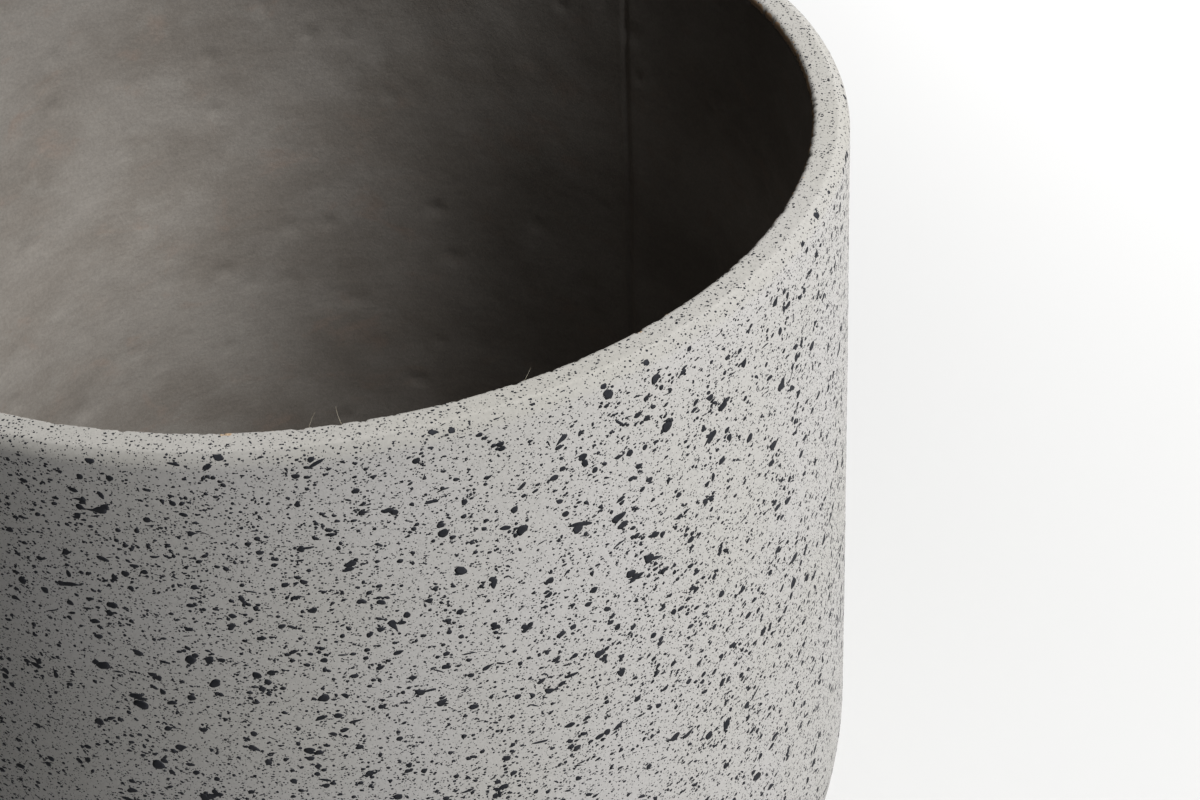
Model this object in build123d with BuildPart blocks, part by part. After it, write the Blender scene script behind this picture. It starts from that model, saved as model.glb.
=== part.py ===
"""Round fibre-cement planter: a layered cast pot, a rubber drain stopper and four foot pads.

Frame: millimetres, +Z up, origin on the floor under the middle of the pot, -Y is the front.
The pot is a lay-up, from the outside in: a fine face coat that is painted and speckled,
a glass-fibre mat, and the coarse cement body that stays raw on the inside.
"""
import os
from math import cos, degrees, radians, sin, tan

from build123d import *

# Pot, outside
OUTER_R = 180.0  # outer face of the straight wall
POT_H = 335.0  # from the flat underside to the top of the lip
BELLY_R = 118.0  # large arc where the wall starts to turn under
HEEL_R = 50.0  # tight arc from there to the flat underside
BELLY_ANGLE = 40.0  # how far the large arc turns before the tight one takes over, degrees

# Pot, inside
LIP_W = 12.0  # wall at the lip
INNER_DRAFT = 1.5  # the mould core narrows downwards, degrees
BASE_T = 16.0  # whole thickness of the base
INNER_CORNER_R = 70.0  # round between the inner wall and the inner floor
SEAM_AZIMUTH = 40.4  # joint line of the mould core, degrees from +X towards +Y
SEAM_W = 3.5
SEAM_DEPTH = 0.8

# Lay-up
COAT_T = 2.0  # face coat on the wall and the underside
CAP_T = 2.5  # face coat over the lip
LIP_ROUND = 4.5  # outer edge of the lip
LIP_EDGE = 1.7  # inner edge of the lip
MAT_T = 1.0  # glass-fibre mat
BOND = 0.15  # bond line between two layers
MAT_DROP = 14.0  # the mat stops this far below the top of the lip
MAT_JOINT = 0.4  # butt joint between the wall mat and the base mat
MAT_LAND = 4.0  # solid cement between the base mat and the drain hole

# Drain hole and stopper
DRAIN_R = 12.0
PLUG_CLEARANCE = 0.4  # all round the shank
PLUG_TIP_GAP = 2.0  # from the shank's tip up to the flat underside
PLUG_TAPER = 1.2  # how much the shank's radius shrinks towards its tip
PLUG_TIP_CHAMFER = 1.0
FLANGE_R = 22.0
FLANGE_T = 4.0
FLANGE_ROUND = 1.5
NECK_R = 5.5
NECK_H = 6.0
KNOB_R = 9.0
KNOB_H = 7.0
KNOB_ROUND = 3.0

# Foot pads
PAD_R = 20.0
PAD_H = 5.0
PAD_ROUND = 1.0
PAD_MARGIN = 9.0  # from a pad's edge to where the underside starts to curve up
PADS = {"front_right": -45.0, "rear_right": 45.0, "rear_left": 135.0, "front_left": -135.0}

# Levels and radii that follow
BASE_Z = PAD_H
RIM_Z = BASE_Z + POT_H
FLOOR_Z = BASE_Z + BASE_T
FLAT_R = OUTER_R - BELLY_R + (BELLY_R - HEEL_R) * cos(radians(BELLY_ANGLE))
WALL_Z = BASE_Z + HEEL_R + (BELLY_R - HEEL_R) * sin(radians(BELLY_ANGLE))
INNER_R = OUTER_R - LIP_W
SEAM_Z = FLOOR_Z + INNER_CORNER_R
MAT_INSET = COAT_T + BOND
BODY_INSET = MAT_INSET + MAT_T + BOND
MAT_TOP = RIM_Z - MAT_DROP
BODY_TOP = RIM_Z - CAP_T - BOND
PAD_CENTRE_R = FLAT_R - PAD_MARGIN - PAD_R


def inner_radius(z):
    """Radius of the drafted inner wall at height z."""
    return INNER_R - (RIM_Z - z) * tan(radians(INNER_DRAFT))


def envelope(inset, top, mode=Mode.ADD):
    """Turned solid inside the pot's outer face, that face moved inwards by inset."""
    lip = max(LIP_ROUND - inset, BOND)
    side = OUTER_R - inset
    bottom = BASE_Z + inset
    with BuildSketch(Plane.XZ) as profile:
        with BuildLine():
            Line((0, bottom), (FLAT_R, bottom))
            CenterArc((FLAT_R, BASE_Z + HEEL_R), HEEL_R - inset, -90, 90 - BELLY_ANGLE)
            CenterArc((OUTER_R - BELLY_R, WALL_Z), BELLY_R - inset, -BELLY_ANGLE, BELLY_ANGLE)
            Line((side, WALL_Z), (side, top - lip))
            CenterArc((side - lip, top - lip), lip, 0, 90)
            Polyline((side - lip, top), (0, top), (0, bottom))
        make_face()
    revolve(profile.sketch, axis=Axis.Z, mode=mode)


def cylinder(radius, low, high, mode=Mode.ADD):
    """Cylinder on the pot's axis between two heights."""
    with BuildSketch(Plane.XY.offset(low)) as disc:
        Circle(radius)
    extrude(disc.sketch, amount=high - low, mode=mode)


# Face coat: the painted outside, folded over the lip to its inner edge
with BuildPart() as face_coat:
    envelope(0, RIM_Z)
    envelope(COAT_T, RIM_Z - CAP_T, mode=Mode.SUBTRACT)
    cylinder(INNER_R, RIM_Z - CAP_T, RIM_Z, mode=Mode.SUBTRACT)
    cylinder(DRAIN_R, BASE_Z, BASE_Z + COAT_T, mode=Mode.SUBTRACT)
    lip_inside = face_coat.edges().filter_by(GeomType.CIRCLE).group_by(Axis.Z)[-1].sort_by(SortBy.RADIUS)[0]
    fillet(lip_inside, LIP_EDGE)

# Wall mat: a hoop of glass-fibre mat behind the straight part of the coat
with BuildPart() as fibre_mat_wall:
    with BuildSketch(Plane.XY.offset(WALL_Z)):
        Circle(OUTER_R - MAT_INSET)
        Circle(OUTER_R - MAT_INSET - MAT_T, mode=Mode.SUBTRACT)
    extrude(amount=MAT_TOP - BOND - WALL_Z)

# Base mat: a dish of the same mat behind the curved bottom, cut back round the drain
with BuildPart() as fibre_mat_base:
    envelope(MAT_INSET, MAT_TOP)
    envelope(MAT_INSET + MAT_T, MAT_TOP, mode=Mode.SUBTRACT)
    split(bisect_by=Plane.XY.offset(WALL_Z - MAT_JOINT), keep=Keep.BOTTOM)
    cylinder(DRAIN_R + MAT_LAND, BASE_Z, FLOOR_Z, mode=Mode.SUBTRACT)

# Cement body: raw inside, with the drain hole and the core's joint line
with BuildPart() as cement_shell:
    envelope(BODY_INSET, BODY_TOP)
    cylinder(OUTER_R - MAT_INSET, MAT_TOP, BODY_TOP)
    collar = cement_shell.edges().filter_by(GeomType.CIRCLE).group_by(Axis.Z)[-1].sort_by(SortBy.RADIUS)[-1]
    fillet(collar, LIP_ROUND - MAT_INSET)
    cylinder(DRAIN_R + MAT_LAND - BOND, BASE_Z + MAT_INSET, FLOOR_Z)
    with BuildSketch(Plane.XZ):
        with BuildLine():
            Polyline(
                (0, FLOOR_Z),
                (inner_radius(FLOOR_Z), FLOOR_Z),
                (inner_radius(RIM_Z), RIM_Z),
                (0, RIM_Z),
                close=True,
            )
        make_face()
        fillet(vertices().sort_by(Axis.Y)[:2].sort_by(Axis.X)[-1], INNER_CORNER_R)
    revolve(axis=Axis.Z, mode=Mode.SUBTRACT)
    with BuildSketch(Plane.XZ.rotated((0, 0, SEAM_AZIMUTH))):
        with BuildLine():
            Polyline(
                (0, SEAM_Z),
                (inner_radius(SEAM_Z) + SEAM_DEPTH, SEAM_Z),
                (inner_radius(RIM_Z) + SEAM_DEPTH, RIM_Z),
                (0, RIM_Z),
                close=True,
            )
        make_face()
    revolve(axis=Axis.Z, revolution_arc=degrees(SEAM_W / INNER_R), mode=Mode.SUBTRACT)
    cylinder(DRAIN_R, BASE_Z, FLOOR_Z, mode=Mode.SUBTRACT)

# Drain stopper: flange on the inner floor, tapered shank in the hole, knob to pull it by
with BuildPart() as drain_plug:
    shank_r = DRAIN_R - PLUG_CLEARANCE
    tip_z = BASE_Z + PLUG_TIP_GAP
    knob_z = FLOOR_Z + FLANGE_T + NECK_H
    with BuildSketch(Plane.XZ):
        with BuildLine():
            Polyline(
                (0, tip_z),
                (shank_r - PLUG_TAPER - PLUG_TIP_CHAMFER, tip_z),
                (shank_r - PLUG_TAPER, tip_z + PLUG_TIP_CHAMFER),
                (shank_r, FLOOR_Z),
                (FLANGE_R, FLOOR_Z),
                (FLANGE_R, FLOOR_Z + FLANGE_T),
                (NECK_R, FLOOR_Z + FLANGE_T),
                (NECK_R, knob_z),
                (KNOB_R, knob_z),
                (KNOB_R, knob_z + KNOB_H),
                (0, knob_z + KNOB_H),
                close=True,
            )
        make_face()
    revolve(axis=Axis.Z)
    rims = drain_plug.edges().filter_by(GeomType.CIRCLE)
    fillet(rims.filter_by(lambda e: abs(e.radius - FLANGE_R) < 0.01).sort_by(Axis.Z)[-1], FLANGE_ROUND)
    fillet(rims.filter_by(lambda e: abs(e.radius - KNOB_R) < 0.01), KNOB_ROUND)

# Foot pads: four rubber discs bonded to the flat underside
foot_pads = {}
for corner, azimuth in PADS.items():
    with BuildPart() as pad:
        with BuildSketch(Plane.XY):
            with PolarLocations(PAD_CENTRE_R, 1, start_angle=azimuth):
                Circle(PAD_R)
        extrude(amount=PAD_H)
        fillet(pad.edges().group_by(Axis.Z)[0], PAD_ROUND)
    foot_pads["foot_pad_" + corner] = pad

os.makedirs("parts", exist_ok=True)
pieces = {
    "face_coat": face_coat,
    "fibre_mat_wall": fibre_mat_wall,
    "fibre_mat_base": fibre_mat_base,
    "cement_shell": cement_shell,
    "drain_plug": drain_plug,
    **foot_pads,
}
for name, piece in pieces.items():
    piece.part.label = name
    export_step(piece.part, f"parts/{name}.step")
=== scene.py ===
"""Looks of the round fibre-cement planter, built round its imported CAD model.

Metres, +Z up, -Y the front. The pot is a turned shape, so every surface, splat and chip is placed
by its distance along an outline and its angle round the axis, through the same small set of waves.
"""

from math import cos, pi, radians, sin, tan

import bpy
import numpy as np
from mathutils import Matrix, Vector


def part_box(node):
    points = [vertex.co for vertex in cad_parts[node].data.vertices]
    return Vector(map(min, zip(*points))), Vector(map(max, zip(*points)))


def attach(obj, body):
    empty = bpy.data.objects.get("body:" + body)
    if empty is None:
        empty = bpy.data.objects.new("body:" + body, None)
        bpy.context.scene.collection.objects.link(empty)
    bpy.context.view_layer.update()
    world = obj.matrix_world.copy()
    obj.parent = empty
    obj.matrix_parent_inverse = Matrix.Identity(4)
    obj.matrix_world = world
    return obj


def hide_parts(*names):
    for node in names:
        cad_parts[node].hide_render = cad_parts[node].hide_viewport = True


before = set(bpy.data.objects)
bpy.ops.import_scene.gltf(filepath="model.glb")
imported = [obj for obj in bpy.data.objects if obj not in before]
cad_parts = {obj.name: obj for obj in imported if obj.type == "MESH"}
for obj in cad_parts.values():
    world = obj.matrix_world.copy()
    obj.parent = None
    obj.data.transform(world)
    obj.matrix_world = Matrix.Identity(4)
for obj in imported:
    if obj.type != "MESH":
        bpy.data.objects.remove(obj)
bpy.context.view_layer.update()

MM = 0.001

# ---------------------------------------------------------------- sizes, from the frame and the design
coat_low, coat_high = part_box("face_coat")
OUTER_R = coat_high.x
RIM_Z = coat_high.z
BASE_Z = coat_low.z
LIP_W = 12 * MM
LIP_ROUND = 4.5 * MM
LIP_EDGE = 1.7 * MM
CAP_T = 2.5 * MM
COAT_T = 2 * MM
COAT_BACK_END = 1.5 * MM  # from the lip's inner edge to the last ring on the coat's back
BODY_INSET = 3.3 * MM  # from the painted face in to the cement body
BODY_LAP = 0.1 * MM  # how far the raw inside reaches up past the underside of the coat's cap
BELLY_R = 118 * MM
HEEL_R = 50 * MM
BELLY_ANGLE = 40  # degrees
INNER_DRAFT = 1.5  # degrees
INNER_CORNER_R = 70 * MM
BASE_T = 16 * MM
DRAIN_R = 12 * MM
DRAIN_EDGE = 1 * MM  # round where the floor turns down into the drain hole
DRAIN_LAND = 3 * MM  # how far from the hole the body's hidden back rises clear of the coat
BOND = 0.15 * MM  # bond line between two layers
SEAM_AZIMUTH = 41.0  # joint line of the mould core, in degrees
SEAM_W = 3.5 * MM
SEAM_CUT = 0.96 * MM  # how deep the joint line is in its middle

INNER_R = OUTER_R - LIP_W
FLOOR_Z = BASE_Z + BASE_T
FLAT_R = OUTER_R - BELLY_R + (BELLY_R - HEEL_R) * cos(radians(BELLY_ANGLE))
WALL_Z = BASE_Z + HEEL_R + (BELLY_R - HEEL_R) * sin(radians(BELLY_ANGLE))

# ---------------------------------------------------------------- outlines in the (radius, height) plane


def arc(centre, radius, start, stop, steps):
    """Points on an arc, angles in degrees."""
    turn = np.radians(np.linspace(start, stop, steps + 1))
    return np.column_stack((centre[0] + radius * np.cos(turn), centre[1] + radius * np.sin(turn)))


def run(start, stop, steps):
    """Points on a straight line."""
    return np.linspace(start, stop, steps + 1)


class Outline:
    """A line of points with its length so far and its left-hand normals."""

    def __init__(self, *stretches):
        points = np.vstack(stretches)
        step = np.hypot(*np.diff(points, axis=0).T)
        self.points = points[np.concatenate(([True], step > 1e-7))]  # stretches share their end points
        step = np.hypot(*np.diff(self.points, axis=0).T)
        self.length = np.concatenate(([0.0], np.cumsum(step)))
        tangent = np.gradient(self.points, self.length, axis=0)
        tangent /= np.hypot(*tangent.T)[:, None]
        self.normals = np.column_stack((-tangent[:, 1], tangent[:, 0]))

    def at(self, length, angle, lift=0.0):
        """Points in space at a length along the outline, an angle round the axis and a lift."""
        radius, height, out, up = (
            np.interp(length, self.length, column)
            for column in (*self.points.T, *self.normals.T)
        )
        radius = radius + out * lift
        spot = np.broadcast_arrays(radius * np.cos(angle), radius * np.sin(angle), height + up * lift)
        return np.stack(spot, axis=-1)


def coat_outline():
    """The painted outside, from under the lip's inner edge over the lip and down to the drain hole."""
    edge = (INNER_R + LIP_EDGE, RIM_Z - LIP_EDGE)
    corner = (OUTER_R - LIP_ROUND, RIM_Z - LIP_ROUND)
    return Outline(
        run((INNER_R, RIM_Z - CAP_T), (INNER_R, edge[1]), 2),
        arc(edge, LIP_EDGE, 180, 90, 9),
        run((edge[0], RIM_Z), (corner[0], RIM_Z), 8),
        arc(corner, LIP_ROUND, 90, 0, 14),
        run((OUTER_R, corner[1]), (OUTER_R, WALL_Z), 84),
        arc((OUTER_R - BELLY_R, WALL_Z), BELLY_R, 0, -BELLY_ANGLE, 28),
        arc((FLAT_R, BASE_Z + HEEL_R), HEEL_R, -BELLY_ANGLE, -90, 20),
        run((FLAT_R, BASE_Z), (DRAIN_R, BASE_Z), 20),
    )


def body_outline():
    """The raw inside, from under the lip down the drafted wall, over the floor to the drain hole."""
    draft = tan(radians(INNER_DRAFT))
    top = RIM_Z - CAP_T + BODY_LAP
    foot_r = INNER_R - (RIM_Z - FLOOR_Z) * draft
    reach = INNER_CORNER_R / tan(radians(90 + INNER_DRAFT) / 2)
    centre = (foot_r - reach, FLOOR_Z + INNER_CORNER_R)
    across, down = cos(radians(INNER_DRAFT)), sin(radians(INNER_DRAFT))
    bend = (centre[0] + INNER_CORNER_R * across, centre[1] - INNER_CORNER_R * down)
    return Outline(
        run((INNER_R - (RIM_Z - top) * draft, top), bend, 104),
        arc(centre, INNER_CORNER_R, -INNER_DRAFT, -90, 26),
        run((centre[0], FLOOR_Z), (DRAIN_R + DRAIN_EDGE, FLOOR_Z), 24),
        arc((DRAIN_R + DRAIN_EDGE, FLOOR_Z - DRAIN_EDGE), DRAIN_EDGE, 90, 180, 4),
    )


# ---------------------------------------------------------------- surface waves and dents


def waves(seed, shortest, longest, count=40):
    """A smooth random field in space with unit spread, made of sine waves of those lengths."""
    rng = np.random.default_rng(seed)
    direction = rng.normal(size=(count, 3))
    direction /= np.linalg.norm(direction, axis=1)[:, None]
    number = 2 * pi / np.exp(rng.uniform(np.log(shortest), np.log(longest), count))
    phase = rng.uniform(0, 2 * pi, count)

    def field(points):
        total = np.zeros(points.shape[:-1])
        for vector, shift in zip(direction * number[:, None], phase):
            total += np.sin(points @ vector + shift)
        return total * (2 / count) ** 0.5

    return field


swell = waves(1, 70 * MM, 200 * MM)
ripple = waves(2, 12 * MM, 34 * MM)
lumps = waves(6, 40 * MM, 120 * MM)
grit = waves(7, 9 * MM, 26 * MM)
patchy = waves(21, 30 * MM, 110 * MM)
SWELL = 0.07 * MM
RIPPLE = 0.02 * MM
LUMPS = 0.22 * MM
GRIT = 0.07 * MM


def coat_lift(points):
    """How far the smooth painted face stands off its outline."""
    return SWELL * swell(points) + RIPPLE * ripple(points)


coat_line = coat_outline()
body_line = body_outline()
# Lengths along the coat: to the lip's flat top, to where the wear dies out, and to the straight wall.
EDGE_END = CAP_T - LIP_EDGE + pi / 2 * LIP_EDGE + 0.1 * MM
WORN_TO = EDGE_END + 1 * MM
LIP_END = EDGE_END + LIP_W - LIP_EDGE - LIP_ROUND + pi / 2 * LIP_ROUND

EDGE_CHIPS = 170
EDGE_STAND = 0.12 * MM  # the unworn edge stands this far into the mouth
EDGE_WAVES = range(90, 690, 7)  # ripples round the edge
EDGE_WAVE = 0.018 * MM


def wrap(angle):
    """The angle brought between half a turn back and half a turn on."""
    return (angle + pi) % (2 * pi) - pi


def edge_wear(angle):
    """How far the lip's inner edge has crumbled back, at each angle."""
    rng = np.random.default_rng(11)
    back = np.full_like(angle, -EDGE_STAND)
    for number in EDGE_WAVES:
        back += rng.normal(0, EDGE_WAVE) * np.sin(number * angle + rng.uniform(0, 2 * pi))
    for _ in range(EDGE_CHIPS):
        where = rng.uniform(0, 2 * pi)
        width = rng.uniform(0.5, 1.5) * MM
        depth = rng.uniform(0.12, 0.5) * MM
        off = wrap(angle - where) * INNER_R / width
        back += depth * np.exp(-(off**2))
    return back


def on_coat(length, angle, lift=0.0):
    """Points on the painted face, its waves and its worn inner edge included."""
    base = coat_line.at(length, angle)
    points = coat_line.at(length, angle, lift + coat_lift(base))
    length, angle = np.broadcast_arrays(length, angle)
    near = length < WORN_TO
    if near.any():
        fade = np.clip((WORN_TO - length[near]) / (0.5 * WORN_TO), 0, 1)
        back = edge_wear(angle[near]) * fade
        points[near, 0] += back * np.cos(angle[near])
        points[near, 1] += back * np.sin(angle[near])
        points[near, 2] -= 0.5 * np.abs(back)
    return points


# ---------------------------------------------------------------- meshes


def stitch(upper, lower, first, second):
    """Faces between two rings that start at vertices first and second.

    One ring may hold a multiple of the other's vertices.
    """
    if upper < lower:
        return stitch(lower, upper, second, first)[:, ::-1]
    share = upper // lower
    column = np.arange(lower)[:, None]
    high = first + (column * share + np.arange(share, -1, -1)) % upper
    return np.hstack((second + column, second + (column + 1) % lower, high))


def turned_mesh(name, rings, flip=False):
    """A closed turned body from rings of points, each joined to the next and the last to the first.

    Its faces look outward where the rings run down the outside; flip turns them for rings down the inside.
    """
    starts = np.concatenate(([0], np.cumsum([len(ring) for ring in rings])))
    blocks = []
    for i, ring in enumerate(rings):
        j = (i + 1) % len(rings)
        faces = stitch(len(ring), len(rings[j]), starts[i], starts[j])
        blocks.append(faces[:, ::-1] if flip else faces)
    return piece(name, np.vstack(rings), blocks)


def closed_turning(name, rings):
    """A turned body whose first and last rings are filled in; its rings run outward and then up."""
    count = len(rings[0])
    blocks = [stitch(count, count, i * count, (i + 1) * count)[:, ::-1] for i in range(len(rings) - 1)]
    first = np.arange(count)
    blocks += [first[None, ::-1], first[None, :] + (len(rings) - 1) * count]
    return piece(name, np.vstack(rings), blocks)


def piece(name, vertices, blocks, flat=()):
    """A mesh object in the scene, from blocks of faces; the faces of one block have as many corners each.

    The blocks whose numbers are in flat stay unsmoothed.
    """
    mesh = bpy.data.meshes.new(name)
    sides = np.concatenate([np.full(len(block), block.shape[1]) for block in blocks])
    starts = np.concatenate(([0], np.cumsum(sides)[:-1]))
    corners = np.concatenate([block.ravel() for block in blocks])
    mesh.vertices.add(len(vertices))
    mesh.vertices.foreach_set("co", np.ascontiguousarray(vertices, dtype=np.float32).ravel())
    mesh.loops.add(len(corners))
    mesh.loops.foreach_set("vertex_index", corners.astype(np.int32))
    mesh.polygons.add(len(sides))
    mesh.polygons.foreach_set("loop_start", starts.astype(np.int32))
    smooth = np.concatenate([np.full(len(block), i not in flat) for i, block in enumerate(blocks)])
    mesh.polygons.foreach_set("use_smooth", smooth)
    mesh.update(calc_edges=True)
    mesh.validate()
    made = bpy.data.objects.new(name, mesh)
    bpy.context.scene.collection.objects.link(made)
    return made


def angles(count):
    """Even steps once round the axis."""
    return np.linspace(0, 2 * pi, count, endpoint=False)


# ---------------------------------------------------------------- shader helpers


def new_material(name):
    """A node material with its Principled shader, and a function that adds a node to it."""
    made = bpy.data.materials.new(name)
    made.use_nodes = True
    tree = made.node_tree
    shader = tree.nodes["Principled BSDF"]

    def add(kind, inputs=None, **settings):
        node = tree.nodes.new(kind)
        for key, value in settings.items():
            setattr(node, key, value)
        for key, value in (inputs or {}).items():
            if isinstance(value, bpy.types.NodeSocket):
                tree.links.new(value, node.inputs[key])
            else:
                node.inputs[key].default_value = value
        return node

    return made, shader, add, tree.links.new


def place_of(add):
    """The object's own coordinates, in metres."""
    return add("ShaderNodeTexCoord").outputs["Object"]


def noise(add, where, size, detail=2.0, roughness=0.5, distortion=0.0):
    """Noise with features of that size, about 0.5 in the middle."""
    inputs = {"Vector": where, "Scale": 1 / size, "Detail": detail}
    inputs |= {"Roughness": roughness, "Distortion": distortion}
    return add("ShaderNodeTexNoise", inputs).outputs["Fac"]


def stretched(add, where, up):
    """The coordinates with the height multiplied, so that what is drawn on them is flattened."""
    node = add("ShaderNodeVectorMath", {0: where, 1: (1.0, 1.0, up)}, operation="MULTIPLY")
    return node.outputs[0]


def ramp(add, value, low, high, to_low=0.0, to_high=1.0):
    """Value from low to high, spread smoothly over to_low to to_high."""
    return add(
        "ShaderNodeMapRange",
        {"Value": value, "From Min": low, "From Max": high, "To Min": to_low, "To Max": to_high},
        interpolation_type="SMOOTHSTEP",
    ).outputs["Result"]


def maths(add, operation, *values):
    """One sum on numbers or sockets."""
    return add("ShaderNodeMath", dict(enumerate(values)), operation=operation).outputs[0]


def blend_colour(add, share, under, over, kind="MIX"):
    """Two colours mixed by a share."""
    inputs = {"Factor": share, "A": under, "B": over}
    return add("ShaderNodeMix", inputs, data_type="RGBA", blend_type=kind).outputs["Result"]


def shaded(add, base, share):
    """A colour darkened or lightened by a share."""
    return blend_colour(add, 1.0, base, share, "MULTIPLY")


def colour(red, green, blue):
    """A linear colour from the 0 to 255 values that a screen shows."""
    share = np.array([red, green, blue]) / 255
    linear = np.where(share <= 0.04045, share / 12.92, ((share + 0.055) / 1.055) ** 2.4)
    return (*linear.tolist(), 1.0)


def bumps(add, *layers):
    """Bump nodes laid one on another: each layer is a height socket and its depth in metres."""
    normal = None
    for height, depth in layers:
        inputs = {"Height": height, "Distance": depth, "Strength": 1.0}
        if normal:
            inputs["Normal"] = normal
        normal = add("ShaderNodeBump", inputs).outputs["Normal"]
    return normal


PAINT = colour(187, 185, 183)
PAINT_WARM = colour(185, 183, 179)
INK = colour(38, 40, 45)
INK_PALE = colour(54, 55, 60)
LIP_WARM_LIGHT_TINT = (1.0, 0.995, 0.965, 1.0)  # painted warm light: the lip is tinted a little warmer than the wall
LIP_ROUND_PAINTED_SHADE = (0.79, 0.79, 0.79, 1.0)  # and painted shade, darker over the lip's outer round
BARE = colour(158, 134, 108)
BARE_PALE = colour(196, 176, 152)
CEMENT = colour(165, 160, 154)
CEMENT_DARK = colour(152, 146, 139)
CEMENT_PALE = colour(172, 168, 162)
CEMENT_PINK = colour(168, 152, 141)
SEAM_DARK_TONE = colour(84, 77, 70)
RUBBER_PADS = colour(44, 44, 46)
RUBBER_PLUG = colour(36, 36, 37)
DUST = colour(120, 116, 108)
STRAW = colour(196, 186, 160)
STRAW_PALE = colour(226, 220, 203)
FLOOR = colour(206, 206, 205)
FLOOR_PALE = colour(209, 209, 209)
SEAM_SIDE_PAINTED_SHADE = 0.58  # painted shade: the share of its colour that the cement keeps on the seam's side
LOW_PAINTED_SHADE = 0.65  # and how much of that is left low down on the same side, more painted shade
RIM_SHADE = 0.76  # the share that it keeps just under the rim


def mist(add, where, cell, smallest, biggest, seed):
    """Fine round dots: slices through balls scattered one to a cell, with radii between two sizes."""
    moved = add("ShaderNodeVectorMath", {0: where, 1: (seed, seed * 0.7, seed * 1.3)}, operation="ADD")
    cells = add("ShaderNodeTexVoronoi", {"Vector": moved.outputs[0], "Scale": 1 / cell, "Randomness": 1.0})
    own = add("ShaderNodeSeparateColor", {"Color": cells.outputs["Color"]}).outputs[0]
    size = ramp(add, own, 0.0, 1.0, smallest / cell, biggest / cell)
    inside = maths(add, "SUBTRACT", size, cells.outputs["Distance"])
    return ramp(add, inside, 0.0, 0.03 * MM / cell)


def paint_material():
    """Matt light-grey paint with a fine mist of ink, bare and tan at the lip's inner edge."""
    made, shader, add, link = new_material("speckled_paint")
    where = place_of(add)
    tint = ramp(add, noise(add, where, 60 * MM, 3), 0.3, 0.7)
    grain = ramp(add, noise(add, where, 0.9 * MM, 3, 0.6), 0.25, 0.75, 0.93, 1.04)
    base = blend_colour(add, tint, PAINT, PAINT_WARM)
    base = shaded(add, base, grain)

    # Dots too fine to be pieces: cell, smallest and biggest radius, and a shift that keeps layers apart.
    flattened = stretched(add, where, 1.35)
    drops = mist(add, flattened, 1.75 * MM, 0.24 * MM, 0.42 * MM, 0.3)
    spray = mist(add, flattened, 1.25 * MM, 0.17 * MM, 0.29 * MM, 1.7)
    haze = mist(add, where, 0.85 * MM, 0.09 * MM, 0.18 * MM, 4.1)
    dots = maths(add, "MAXIMUM", drops, maths(add, "MAXIMUM", spray, haze))

    # The lip, by height: painted warm light, and painted shade over its outer round, less on its flat top.
    axes = add("ShaderNodeSeparateXYZ", {"Vector": where}).outputs
    rim = ramp(add, axes[2], RIM_Z - 5.2 * MM, RIM_Z - 1.6 * MM)
    top = ramp(add, axes[2], RIM_Z - 0.5 * MM, RIM_Z - 0.1 * MM, 0.0, 0.5)
    base = blend_colour(add, rim, base, LIP_WARM_LIGHT_TINT, "MULTIPLY")
    base = blend_colour(add, maths(add, "SUBTRACT", rim, top), base, LIP_ROUND_PAINTED_SHADE, "MULTIPLY")
    base = blend_colour(add, dots, base, INK)

    # Bare cement where the lip's inner edge is worn back, by distance from the axis.
    squares = [maths(add, "POWER", axes[i], 2.0) for i in (0, 1)]
    radius = maths(add, "SQRT", maths(add, "ADD", *squares))
    ragged = ramp(add, noise(add, where, 3 * MM, 4, 0.65), 0.2, 0.8, -0.5 * MM, 0.5 * MM)
    reach = maths(add, "ADD", radius, ragged)
    bare = ramp(add, reach, INNER_R + 0.35 * MM, INNER_R + 0.2 * MM)
    bare = maths(add, "MULTIPLY", bare, rim)
    base = blend_colour(add, bare, base, BARE)
    link(base, shader.inputs["Base Color"])

    fine = noise(add, where, 0.7 * MM, 3, 0.6)
    broad = noise(add, where, 5 * MM, 3, 0.5)
    pores = add("ShaderNodeTexVoronoi", {"Vector": where, "Scale": 1 / (6 * MM)}).outputs["Distance"]
    pores = ramp(add, pores, 0.0, 0.07)
    link(bumps(add, (broad, 0.10 * MM), (fine, 0.05 * MM), (pores, 0.12 * MM)), shader.inputs["Normal"])
    link(ramp(add, noise(add, where, 2 * MM, 2), 0.2, 0.8, 0.62, 0.74), shader.inputs["Roughness"])
    shader.inputs["Specular IOR Level"].default_value = 0.35
    return made


def ink_material():
    """Charcoal spatter, faintly blue and as matt as the paint under it."""
    made, shader, add, link = new_material("spatter_ink")
    where = place_of(add)
    share = ramp(add, noise(add, where, 4 * MM, 3), 0.3, 0.7)
    link(blend_colour(add, share, INK, INK_PALE), shader.inputs["Base Color"])
    link(bumps(add, (noise(add, where, 0.5 * MM, 2), 0.02 * MM)), shader.inputs["Normal"])
    link(ramp(add, noise(add, where, 1.5 * MM, 2), 0.2, 0.8, 0.6, 0.75), shader.inputs["Roughness"])
    shader.inputs["Specular IOR Level"].default_value = 0.22
    return made


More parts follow.
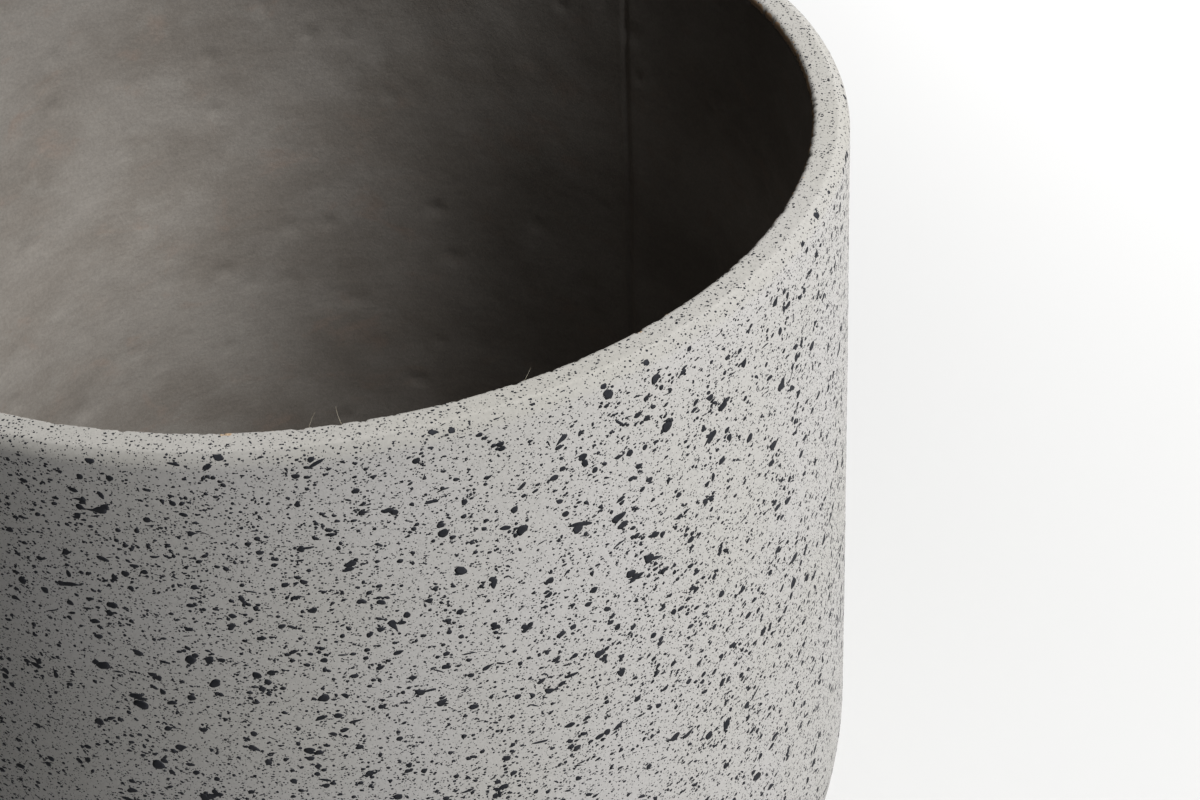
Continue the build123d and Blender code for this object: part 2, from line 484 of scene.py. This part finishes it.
def cement_material():
    """Raw cement: mottling, pale bloom, warm stains, sand grain, painted shade on the seam's side, a darker
    joint.
    """
    made, shader, add, link = new_material("raw_cement")
    where = place_of(add)
    smeared = stretched(add, where, 1.6)
    mottling = ramp(add, noise(add, smeared, 55 * MM, 4, 0.55), 0.35, 0.65)
    base = blend_colour(add, mottling, CEMENT, CEMENT_DARK)
    bloom = ramp(add, noise(add, smeared, 24 * MM, 5, 0.6, 0.6), 0.5, 0.75, 0.0, 0.45)
    base = blend_colour(add, bloom, base, CEMENT_PALE)
    stain = ramp(add, noise(add, smeared, 22 * MM, 4, 0.6, 0.5), 0.55, 0.75, 0.0, 0.5)
    base = blend_colour(add, stain, base, CEMENT_PINK)
    grain = ramp(add, noise(add, where, 1.1 * MM, 4, 0.7), 0.2, 0.8, 0.86, 1.08)
    base = shaded(add, base, grain)
    axes = add("ShaderNodeSeparateXYZ", {"Vector": where}).outputs
    base = shaded(add, base, ramp(add, axes[2], RIM_Z - 150 * MM, RIM_Z, 1.0, RIM_SHADE))
    streaks = noise(add, stretched(add, where, 3.2), 8 * MM, 4, 0.6)
    base = shaded(add, base, ramp(add, streaks, 0.3, 0.7, 0.96, 1.03))

    def plane(kind, right, back):
        """A share of X plus or minus a share of Y."""
        terms = [maths(add, "MULTIPLY", axes[i], share) for i, share in enumerate((right, back))]
        return maths(add, kind, *terms)

    # Painted shade that grows towards the joint line, and more so low down.
    turn = radians(SEAM_AZIMUTH)
    toward = plane("ADD", cos(turn), sin(turn))
    base = shaded(add, base, ramp(add, toward, 50 * MM, 165 * MM, 1.0, SEAM_SIDE_PAINTED_SHADE))
    low = ramp(add, axes[2], RIM_Z - 50 * MM, RIM_Z - 150 * MM)
    deep = maths(add, "MULTIPLY", ramp(add, toward, 125 * MM, 165 * MM), low)
    base = shaded(add, base, ramp(add, deep, 0.0, 1.0, 1.0, LOW_PAINTED_SHADE))

    # A darker wandering band along the joint line, gone before the floor.
    beside = plane("SUBTRACT", sin(turn), cos(turn))
    ahead = maths(add, "GREATER_THAN", axes[0], 100 * MM)
    wander = ramp(add, noise(add, where, 14 * MM, 3), 0.2, 0.8, -1.5 * MM, 1.5 * MM)
    off = maths(add, "ABSOLUTE", maths(add, "ADD", beside, wander))
    seam_darkening = maths(add, "MULTIPLY", ramp(add, off, 0.5 * MM, 5.5 * MM, 0.3, 0.0), ahead)
    seam_darkening = maths(add, "MULTIPLY", seam_darkening, ramp(add, axes[2], FLOOR_Z + 50 * MM, FLOOR_Z + 100 * MM))
    base = blend_colour(add, seam_darkening, base, SEAM_DARK_TONE)
    link(base, shader.inputs["Base Color"])

    sand = noise(add, where, 0.8 * MM, 4, 0.7)
    clots = noise(add, where, 7 * MM, 4, 0.6)
    link(bumps(add, (clots, 0.3 * MM), (sand, 0.12 * MM)), shader.inputs["Normal"])
    link(ramp(add, noise(add, where, 6 * MM, 3), 0.2, 0.8, 0.82, 0.95), shader.inputs["Roughness"])
    shader.inputs["Specular IOR Level"].default_value = 0.25
    return made


def crumb_material():
    """Freshly broken edge: brown sandy cement."""
    made, shader, add, link = new_material("broken_edge")
    where = place_of(add)
    grains = noise(add, where, 0.6 * MM, 3, 0.7)
    link(blend_colour(add, ramp(add, grains, 0.3, 0.7), BARE, BARE_PALE), shader.inputs["Base Color"])
    link(bumps(add, (grains, 0.2 * MM)), shader.inputs["Normal"])
    link(ramp(add, noise(add, where, 2 * MM, 2), 0.2, 0.8, 0.85, 0.95), shader.inputs["Roughness"])
    return made


def rubber_material(name, tone):
    """Moulded rubber: near black, dusty in patches, with a fine matt grain."""
    made, shader, add, link = new_material(name)
    where = place_of(add)
    dust = ramp(add, noise(add, where, 9 * MM, 4, 0.6), 0.5, 0.8, 0.0, 0.3)
    link(blend_colour(add, dust, tone, DUST), shader.inputs["Base Color"])
    link(bumps(add, (noise(add, where, 0.4 * MM, 2), 0.02 * MM)), shader.inputs["Normal"])
    link(ramp(add, noise(add, where, 3 * MM, 2), 0.2, 0.8, 0.6, 0.8), shader.inputs["Roughness"])
    shader.inputs["Specular IOR Level"].default_value = 0.4
    return made


def mat_material():
    """Chopped-strand glass mat: pale straw bundles lying every way."""
    made, shader, add, link = new_material("glass_fibre_mat")
    where = place_of(add)
    strands = noise(add, where, 2 * MM, distortion=4.0)
    share = ramp(add, strands, 0.4, 0.6)
    link(blend_colour(add, share, STRAW, STRAW_PALE), shader.inputs["Base Color"])
    link(bumps(add, (strands, 0.15 * MM)), shader.inputs["Normal"])
    link(ramp(add, strands, 0.3, 0.7, 0.5, 0.7), shader.inputs["Roughness"])
    return made


# ---------------------------------------------------------------- the coat and the body


EDGE_POINTS = 1440  # round the lip's inner edge; the lip has half as many and the wall a quarter


def make_coat(material):
    """The painted coat, with a ragged inner edge, as one closed shell."""
    rings = []
    for length in coat_line.length:
        count = EDGE_POINTS
        if length >= EDGE_END:
            count //= 2
        if length >= LIP_END:
            count //= 2
        rings.append(on_coat(length, angles(count)))
    back = Outline(
        run((DRAIN_R, BASE_Z), (DRAIN_R, BASE_Z + COAT_T), 1),
        run((DRAIN_R, BASE_Z + COAT_T), (FLAT_R, BASE_Z + COAT_T), 4),
        arc((FLAT_R, BASE_Z + HEEL_R), HEEL_R - COAT_T, -90, -BELLY_ANGLE, 8),
        arc((OUTER_R - BELLY_R, WALL_Z), BELLY_R - COAT_T, -BELLY_ANGLE, 0, 8),
        run((OUTER_R - COAT_T, WALL_Z), (OUTER_R - COAT_T, RIM_Z - CAP_T), 6),
        run((OUTER_R - COAT_T, RIM_Z - CAP_T), (INNER_R + COAT_BACK_END, RIM_Z - CAP_T), 2),
    )
    rings += [back.at(length, angles(EDGE_POINTS // 8)) for length in back.length[1:]]
    coat = turned_mesh("speckled_coat", rings)
    coat.data.materials.append(material)
    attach(coat, "pot")
    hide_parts("face_coat")


DRAGS = 9  # ridges dragged up by the core, each with a trough beside it
DRAG_W = 2.6 * MM
DRAG_HIGH = 0.5 * MM
DRAG_BEND = 0.8  # metres down for a square metre across
DENTS = 280
DENT_STRETCH = 1.3


def inner_relief(points, length, angle):
    """How far the raw inside stands into the cavity: lumps, dragged ridges, dents, the core's joint."""
    rng = np.random.default_rng(5)
    relief = LUMPS * lumps(points) + GRIT * grit(points)
    depth = RIM_Z - points[..., 2]
    for _ in range(DRAGS):
        where = rng.uniform(0, 2 * pi)
        reach = rng.uniform(8, 30) * MM
        at_depth = rng.uniform(25, 75) * MM
        slope = rng.normal(0, 0.25)
        across = wrap(angle - where) * INNER_R
        off = (depth - at_depth - slope * across - DRAG_BEND * across**2) / DRAG_W
        share = np.exp(-((across / reach) ** 4))
        relief += share * DRAG_HIGH * (np.exp(-(off**2)) - np.exp(-((off - 2) ** 2)))
    for _ in range(DENTS):
        where = rng.uniform(0, 2 * pi)
        at_length = rng.uniform(4, 330) * MM
        wide = rng.uniform(1.6, 5.0) * MM
        deep = rng.uniform(0.3, 1.1) * MM
        across = wrap(angle - where) * np.hypot(points[..., 0], points[..., 1])
        near = 1 - (across / (wide * DENT_STRETCH)) ** 2 - ((length - at_length) / wide) ** 2
        relief -= deep * np.clip(near, 0, 1) ** 1.5
    seam = wrap(angle - radians(SEAM_AZIMUTH)) * INNER_R
    on_wall = np.clip((points[..., 2] - FLOOR_Z - 0.5 * INNER_CORNER_R) / (20 * MM), 0, 1)
    return relief - SEAM_CUT * on_wall * np.exp(-((seam / (0.42 * SEAM_W)) ** 2))


WALL_POINTS = 600  # round the inner wall; the floor has half as many and the hidden back a quarter
SEAM_POINTS = 48  # of them, packed over the joint line


def make_body(material):
    """The raw cement body as one closed shell, its inside in detail."""
    seam = radians(SEAM_AZIMUTH) + np.linspace(-1, 1, SEAM_POINTS) * 2 * SEAM_W / INNER_R
    turn = np.sort(np.concatenate((angles(WALL_POINTS - SEAM_POINTS), seam)))
    length = body_line.length[:, None]
    points = body_line.at(length, turn[None, :])
    off_drain = np.clip((np.hypot(points[..., 0], points[..., 1]) - 2 * DRAIN_R) / (10 * MM), 0, 1)
    off_lip = np.clip(length / (3 * MM), 0, 1)
    relief = inner_relief(points, length, turn[None, :]) * off_drain * off_lip
    points = body_line.at(length, turn[None, :], -relief)
    first_on_floor = np.searchsorted(-body_line.points[:, 1], -FLOOR_Z - 0.01 * MM)
    rings = [ring if i < first_on_floor else ring[::2] for i, ring in enumerate(points)]
    back = Outline(
        run((DRAIN_R, FLOOR_Z - DRAIN_EDGE), (DRAIN_R, BASE_Z + COAT_T), 2),
        run((DRAIN_R, BASE_Z + COAT_T), (DRAIN_R + DRAIN_LAND, BASE_Z + BODY_INSET), 1),
        run((DRAIN_R + DRAIN_LAND, BASE_Z + BODY_INSET), (FLAT_R, BASE_Z + BODY_INSET), 4),
        arc((FLAT_R, BASE_Z + HEEL_R), HEEL_R - BODY_INSET, -90, -BELLY_ANGLE, 8),
        arc((OUTER_R - BELLY_R, WALL_Z), BELLY_R - BODY_INSET, -BELLY_ANGLE, 0, 8),
        run((OUTER_R - BODY_INSET, WALL_Z), (OUTER_R - BODY_INSET, RIM_Z - CAP_T - BOND), 6),
    )
    rings += [back.at(at, turn[::4]) for at in back.length[1:]]
    body = turned_mesh("raw_body", rings, flip=True)
    body.data.materials.append(material)
    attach(body, "pot")
    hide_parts("cement_shell")


PAD_ROUND = 1 * MM
PAD_TOP_ROUND = 0.4 * MM
PAD_GROOVES = (0.42, 0.62, 0.82)  # shares of a pad's radius
PAD_GROOVE_SHAPE = ((-1.2, 0), (-0.7, 0.7), (0.7, 0.7), (1.2, 0))  # mm out and mm up


def make_pads(material):
    """Rubber feet with a rounded rim and grooves cut round the tread."""
    for name in ("front_left", "front_right", "rear_left", "rear_right"):
        node = f"foot_pad_{name}"
        low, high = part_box(node)
        middle = (low + high) / 2
        radius = high.x - middle.x
        tread = [(0.25 * radius, low.z + 0.2 * MM)]
        for groove in PAD_GROOVES:
            for step, depth in PAD_GROOVE_SHAPE:
                tread.append((groove * radius + step * MM, low.z + depth * MM))
        side = Outline(
            [(0.12 * radius, low.z + 0.3 * MM)],
            tread,
            arc((radius - PAD_ROUND, low.z + PAD_ROUND), PAD_ROUND, -90, 0, 6),
            arc((radius - PAD_TOP_ROUND, high.z - PAD_TOP_ROUND), PAD_TOP_ROUND, 0, 90, 4),
            [(0.12 * radius, high.z)],
        )
        rings = [side.at(length, angles(72)) + np.array((middle.x, middle.y, 0)) for length in side.length]
        pad = closed_turning(f"rubber_{name}", rings)
        pad.data.materials.append(material)
        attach(pad, "pot")
        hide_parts(node)


# ---------------------------------------------------------------- hairs and crumbs at the lip


FRONT_FIBRES = ((-92.0, 5, 0.2), (-88.9, 6, -0.35))  # azimuth in degrees, length in mm and lean
OTHER_FIBRES = 12
FIBRE_R = 0.055 * MM


def make_hairs(material):
    """Stray glass fibres that stick out of the lip's inner edge."""
    rng = np.random.default_rng(31)
    fibres = list(FRONT_FIBRES)
    for _ in range(OTHER_FIBRES):
        fibres.append((rng.uniform(-180, 180), rng.uniform(2, 5), rng.uniform(-0.9, 0.9)))
    sides, steps = 5, 9
    turn = angles(sides)
    vertices, blocks, count = [], [], 0
    for azimuth, reach, lean in fibres:
        out = np.array((cos(radians(azimuth)), sin(radians(azimuth)), 0))
        along = np.array((-out[1], out[0], 0))
        share = np.linspace(0, 1, steps)[:, None]
        bend = rng.uniform(-0.5, 0.5)
        start = out * (INNER_R + 0.4 * MM) + np.array((0, 0, RIM_Z - 1.2 * MM))
        path = start + reach * MM * (share * np.array((0, 0, 1)) + along * (lean * share + bend * share**2))
        path = path - out * 0.15 * reach * MM * share
        ring = np.cos(turn)[None, :, None] * along + np.sin(turn)[None, :, None] * out
        tube = path[:, None, :] + FIBRE_R * (1.05 - share[:, :, None] * 0.6) * ring
        for i in range(steps - 1):
            blocks.append(stitch(sides, sides, count + i * sides, count + (i + 1) * sides))
        ends = np.arange(sides)[None, :] + count
        blocks += [ends, ends[:, ::-1] + (steps - 1) * sides]
        vertices.append(tube.reshape(-1, 3))
        count += steps * sides
    made = piece("stray_fibres", np.vstack(vertices), blocks)
    made.data.materials.append(material)
    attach(made, "pot")


FRONT_CRUMBS = ((-99.4, 2.6), (-99.9, 1.6), (-95.2, 1.8))  # azimuth in degrees and size in mm
OTHER_CRUMBS = 16


def make_crumbs(material):
    """Bare cement crumbs where the paint has flaked off the lip's inner edge."""
    rng = np.random.default_rng(41)
    azimuth, across = zip(*FRONT_CRUMBS)
    angle = np.radians(np.concatenate((azimuth, rng.uniform(-180, 180, OTHER_CRUMBS))))
    size = np.concatenate((across, rng.uniform(0.8, 1.8, OTHER_CRUMBS))) * MM
    length = rng.uniform(0.5, 0.95, len(size)) * EDGE_END
    vertices, blocks = lay_drops(rng, length, angle, size, 12, 2)
    made = piece("bare_crumbs", vertices, blocks, (len(blocks) - 1,))
    made.data.materials.append(material)
    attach(made, "pot")


# ---------------------------------------------------------------- spatter

SPATTER_PER_MM2 = 0.23
SPATTER_SIZES = (0.66, 0.85, 1.0, 1.3, 1.7, 2.3, 2.9, 4.2)  # mm, the ends of seven classes
SPATTER_SHARES = (0.40, 0.20, 0.24, 0.088, 0.055, 0.011, 0.003)
SECTORS = 10
EVEN_KEEP = 0.8  # the share of landing places that is kept where the spatter is even
LIP_KEEP = 0.55  # and how much of that on the lip's flat top
LIP_LARGEST = 1.3 * MM  # the largest drop there
LOBED_SHARE = 0.14
SATELLITES_FROM = 1.9 * MM  # drops above this size have small ones round them
SATELLITE = 0.66 * MM
STREAK_SHARE = 0.05
SPIKE_SHARE = 0.14
TAIL_SHARE = 0.1
LOOSE_SHARE = 0.16  # these lie any way, and the rest lean only a little from level
LEAN = radians(17)
DROP_SUNK = 0.012 * MM  # how far a drop's edge lies inside the paint
# For drops between two sizes in mm: points round the outline, and rings from the edge to the middle.
DROP_DETAIL = ((0, 0.85, 5, 1), (0.85, 1.3, 8, 1), (1.3, 2.0, 12, 1), (2.0, 9, 22, 2))


def scatter(rng):
    """Where the drops landed and how big they are: length along the coat, angle and size."""
    # They are strewn as over a cylinder, and fewer are kept where the coat is nearer to the axis.
    top, low = EDGE_END - 1 * MM, coat_line.length[-1]
    area = 2 * pi * OUTER_R * (low - top) / MM**2
    count = int(area * SPATTER_PER_MM2 / EVEN_KEEP)
    length = rng.uniform(top, low, count)
    angle = rng.uniform(0, 2 * pi, count)
    spot = coat_line.at(length, angle)
    radius = np.hypot(spot[:, 0], spot[:, 1])
    on_lip = length < LIP_END - LIP_ROUND
    keep = radius / OUTER_R * np.clip(EVEN_KEEP + 0.1 * patchy(spot), 0.4, 1)
    keep *= np.where(on_lip, LIP_KEEP, 1.0)
    keep *= np.clip((spot[:, 2] - BASE_Z - 3 * MM) / (22 * MM), 0, 1)
    kept = rng.random(count) < keep
    length, angle, on_lip = length[kept], angle[kept], on_lip[kept]
    share = np.array(SPATTER_SHARES) / sum(SPATTER_SHARES)
    kind = rng.choice(len(share), len(length), p=share)
    lowest, highest = np.array(SPATTER_SIZES)[kind], np.array(SPATTER_SIZES)[kind + 1]
    size = lowest * (highest / lowest) ** rng.random(len(kind)) * MM
    size = np.where(on_lip, np.minimum(size, LIP_LARGEST), size)
    return length, angle, size


def companions(rng, length, angle, size):
    """One or two lobes more on about a ninth of the drops, and small satellites round the big ones."""
    found = []
    lobed = np.flatnonzero(rng.random(len(size)) < LOBED_SHARE)
    for _ in range(2):
        lobed = lobed[rng.random(len(lobed)) < 0.8]
        found.append((lobed, rng.uniform(0.45, 0.8, len(lobed)), rng.uniform(0.45, 0.85, len(lobed))))
    big = np.flatnonzero(size > SATELLITES_FROM)
    around = np.repeat(big, rng.integers(2, 8, len(big)))
    found.append((around, rng.uniform(0.75, 1.9, len(around)), SATELLITE / size[around]))
    new = []
    for parent, reach, part in found:
        bearing = rng.uniform(0, 2 * pi, len(parent))
        away = size[parent] * reach
        radius = np.interp(length[parent], coat_line.length, coat_line.points[:, 0])
        new.append((
            length[parent] + 0.6 * away * np.sin(bearing),
            angle[parent] + away * np.cos(bearing) / radius,
            size[parent] * part * rng.uniform(0.8, 1.2, len(parent)),
        ))
    return [np.concatenate((old, *more)) for old, *more in zip((length, angle, size), *new)]


def drop_shapes(rng, size, corners):
    """Outlines of landed drops, one to a row: ragged ovals, tadpoles and streaks.

    They come as distances along and down from each drop's middle, in metres.
    """
    rows = (len(size), 1)

    def some(share, low, high):
        """A value between low and high for that share of the drops, and none for the others."""
        return np.where(rng.random(rows) < share, rng.uniform(low, high, rows), 0)

    # How long each is for its width.
    turn = angles(corners) + rng.uniform(0, 2 * pi, rows)
    stretch = np.exp(np.clip(rng.normal(0.30, 0.26, rows), 0, 0.9))
    streak = rng.random(rows) < STREAK_SHARE
    stretch = np.where(streak, rng.uniform(3.5, 7, rows), stretch)

    # A wavy edge, and on some a spike or two.
    radius = size[:, None] / 2 * np.ones(corners)
    for lobes in (2, 3, 4, 5, 7):
        wave = rng.normal(0, 0.12 / lobes, rows)
        radius = radius * (1 + wave * np.cos(lobes * turn + rng.uniform(0, 2 * pi, rows)))
    for _ in range(2):
        spike = some(SPIKE_SHARE, 0.1, 0.5)
        off = wrap(turn - rng.uniform(0, 2 * pi, rows)) / 0.3
        radius = radius * (1 + spike * np.exp(-(off**2)))
    along = radius * np.cos(turn) * stretch**0.5
    down = radius * np.sin(turn) / stretch**0.5

    # On some a tail; then one end is made the wider and the whole is bent a little.
    side = np.where(rng.random(rows) < 0.5, -1, 1)
    tail = some(TAIL_SHARE, 0.2, 0.9)
    along = along + side * tail * size[:, None] * np.clip(side * np.cos(turn), 0, 1) ** 7
    half = size[:, None] / 2 * stretch**0.5
    down = down * np.clip(1 - rng.uniform(-0.25, 0.25, rows) * along / half, 0.2, 2)
    down = down + rng.normal(0, 0.06, rows) * (along / half) ** 2 * size[:, None]

    # Most lie about level.
    loose = rng.random(rows) < LOOSE_SHARE
    lean = np.where(loose, rng.uniform(0, pi, rows), rng.normal(0, LEAN, rows))
    return along * np.cos(lean) - down * np.sin(lean), along * np.sin(lean) + down * np.cos(lean)


def lay_drops(rng, length, angle, size, corners, rings):
    """Vertices and face blocks of thin closed lenses of paint that follow the coat."""
    along, down = drop_shapes(rng, size, corners)
    radius = np.interp(length, coat_line.length, coat_line.points[:, 0])[:, None]
    high = np.clip(0.025 * size, 0.018 * MM, 0.055 * MM)[:, None]
    layers = []
    for share in np.linspace(1, 0, rings + 1):
        lift = high * (1 - share**2) ** 0.5 - DROP_SUNK
        at_length = length[:, None] + share * down
        at_angle = angle[:, None] + share * along / radius
        layer = on_coat(np.maximum(at_length, 0.6 * EDGE_END), at_angle, lift)
        layers.append(layer[:, :1] if share == 0 else layer)
    vertices = np.concatenate(layers, axis=1)
    per_drop = vertices.shape[1]
    start = (np.arange(len(size)) * per_drop)[:, None, None]
    here = np.arange(corners)
    after = (here + 1) % corners
    blocks = []
    for ring in range(rings - 1):
        lower, upper = ring * corners, (ring + 1) * corners
        quad = np.column_stack((lower + here, upper + here, upper + after, lower + after))
        blocks.append((start + quad).reshape(-1, 4))
    last = (rings - 1) * corners
    fan = np.column_stack((last + here, np.full(corners, rings * corners), last + after))
    blocks.append((start + fan).reshape(-1, 3))
    blocks.append((start[:, 0] + here).reshape(-1, corners))
    return vertices.reshape(-1, 3), blocks


def make_spatter(material):
    """The charcoal spatter over the coat, in sectors."""
    rng = np.random.default_rng(77)
    length, angle, size = companions(rng, *scatter(rng))
    angle = angle % (2 * pi)
    for sector in range(SECTORS):
        vertices, blocks, flat, count = [], [], [], 0
        inside = (angle * SECTORS / (2 * pi)).astype(int) == sector
        for low, high, corners, rings in DROP_DETAIL:
            chosen = inside & (size > low * MM) & (size <= high * MM)
            new, faces = lay_drops(rng, length[chosen], angle[chosen], size[chosen], corners, rings)
            blocks += [block + count for block in faces]
            flat.append(len(blocks) - 1)
            vertices.append(new)
            count += len(new)
        made = piece(f"spatter_{sector + 1}", np.vstack(vertices), blocks, flat)
        made.data.materials.append(material)
        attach(made, "pot")


def dress(node, material):
    """Give a CAD piece its material."""
    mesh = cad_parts[node].data
    mesh.materials.clear()
    mesh.materials.append(material)


# ---------------------------------------------------------------- stage, light, camera


def area_light(name, place, target, width, height, power):
    """A soft lamp at a place, facing a target."""
    lamp = bpy.data.lights.new(name, "AREA")
    lamp.shape = "RECTANGLE"
    lamp.size = width
    lamp.size_y = height
    lamp.energy = power
    made = bpy.data.objects.new(name, lamp)
    made.location = place
    made.rotation_euler = (Vector(place) - Vector(target)).to_track_quat("Z", "Y").to_euler()
    bpy.context.scene.collection.objects.link(made)


FLOOR_HALF = 14.0
WORLD_STRENGTH = 0.015
VIEW_GAMMA = 0.87


def make_stage():
    """A pale floor, faint light from all round and two soft lamps."""
    made, shader, add, link = new_material("pale_floor")
    share = noise(add, place_of(add), 0.6, 2)
    link(blend_colour(add, share, FLOOR, FLOOR_PALE), shader.inputs["Base Color"])
    shader.inputs["Roughness"].default_value = 0.9
    corners = FLOOR_HALF * np.array([(-1, -1, 0), (1, -1, 0), (1, 1, 0), (-1, 1, 0)])
    floor = piece("floor", corners, [np.array([(0, 1, 2, 3)])])
    floor.data.materials.append(made)
    world = bpy.data.worlds.new("studio")
    bpy.context.scene.world = world
    world.use_nodes = True
    background = world.node_tree.nodes["Background"].inputs
    background["Color"].default_value = (1, 1, 1, 1)
    background["Strength"].default_value = WORLD_STRENGTH
    area_light("key", (1.01, -0.84, 1.62), (0, 0, 0.25), width=1.0, height=1.6, power=54)
    area_light("backdrop", (1.0, 1.1, 0.9), (0.75, 0.8, 0), width=0.7, height=0.7, power=19)
    bpy.context.scene.view_settings.view_transform = "Standard"
    bpy.context.scene.view_settings.gamma = VIEW_GAMMA


CAMERA_DISTANCE = 0.8684  # from the middle of the lip's plane
CAMERA_ELEVATION = 29.56  # this and the next three in degrees
CAMERA_PAN = 7.21
CAMERA_TILT = 36.15
CAMERA_ROLL = -3.13
CAMERA_LENS = 79.75


def make_camera():
    """The camera: in front of the pot and above it, looking down past the lip to its right."""
    rise, pan, tilt, roll = map(radians, (CAMERA_ELEVATION, CAMERA_PAN, CAMERA_TILT, CAMERA_ROLL))
    look = Vector((sin(pan) * cos(tilt), cos(pan) * cos(tilt), -sin(tilt)))
    level = Vector((cos(pan), -sin(pan), 0))
    right = cos(roll) * level + sin(roll) * level.cross(look)
    up = right.cross(look)
    made = bpy.data.objects.new("camera", bpy.data.cameras.new("camera"))
    made.data.lens = CAMERA_LENS
    made.data.sensor_width = 36
    place = Vector((0, -CAMERA_DISTANCE * cos(rise), RIM_Z + CAMERA_DISTANCE * sin(rise)))
    made.matrix_world = Matrix.Translation(place) @ Matrix((right, up, -look)).transposed().to_4x4()
    bpy.context.scene.collection.objects.link(made)
    bpy.context.scene.camera = made


make_camera()
make_stage()
make_coat(paint_material())
make_body(cement_material())
make_spatter(ink_material())
glass = mat_material()
make_hairs(glass)
make_crumbs(crumb_material())
make_pads(rubber_material("pad_rubber", RUBBER_PADS))
for mat in ("fibre_mat_wall", "fibre_mat_base"):
    dress(mat, glass)
dress("drain_plug", rubber_material("plug_rubber", RUBBER_PLUG))
